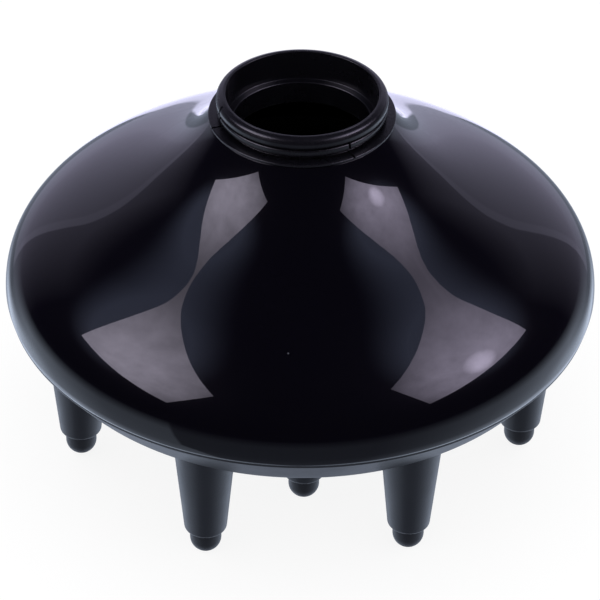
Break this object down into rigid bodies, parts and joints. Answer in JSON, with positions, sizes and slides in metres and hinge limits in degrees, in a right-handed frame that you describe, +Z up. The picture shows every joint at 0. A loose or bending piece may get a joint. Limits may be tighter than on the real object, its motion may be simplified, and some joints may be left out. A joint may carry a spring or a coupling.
{
  "type": "hair dryer finger diffuser",
  "caption": "Bell-shaped diffuser with a ribbed neck collar, a domed perforated plate and tapered hollow fingers with soft tips.",
  "frame": {"origin": "on the bell's axis, in the plane that the finger tips stand on", "axes": "+Z up along the bell's axis towards the collar; -Y is the front, through the first inner finger"},
  "size_m": [0.166, 0.166, 0.1117],
  "materials": {
    "bell_gloss": "polished black",
    "collar_satin": "satin black",
    "inner_plastic": "as moulded black",
    "plate_satin": "satin slate black",
    "finger_satin": "satin slate black",
    "tip_soft": "soft matt",
    "screw_steel": "zinc plated"
  },
  "bodies": {
    "bell_body": {"bell_shell": "bell_gloss", "finger_plate": "plate_satin", "air_deflector": "inner_plastic", "plate_screw_1": "screw_steel", "plate_screw_2": "screw_steel", "plate_screw_3": "screw_steel", "deflector_screw": "screw_steel", "outer_finger_1": "finger_satin", "outer_finger_2": "finger_satin", "outer_finger_3": "finger_satin", "outer_finger_4": "finger_satin", "outer_finger_5": "finger_satin", "outer_finger_6": "finger_satin", "outer_finger_7": "finger_satin", "inner_finger_1": "finger_satin", "inner_finger_2": "finger_satin", "inner_finger_3": "finger_satin", "outer_finger_tip_1": "tip_soft", "outer_finger_tip_2": "tip_soft", "outer_finger_tip_3": "tip_soft", "outer_finger_tip_4": "tip_soft", "outer_finger_tip_5": "tip_soft", "outer_finger_tip_6": "tip_soft", "outer_finger_tip_7": "tip_soft", "inner_finger_tip_1": "tip_soft", "inner_finger_tip_2": "tip_soft", "inner_finger_tip_3": "tip_soft"},
    "swivel_collar": {"neck_collar": "collar_satin", "collar_retaining_ring": "inner_plastic"}
  },
  "joints": [
    {"name": "collar_swivel", "type": "hinge", "parent": "bell_body", "child": "swivel_collar", "pos_m": [0, 0, 0.1043], "axis": [0, 0, 1], "continuous": true}
  ]
}
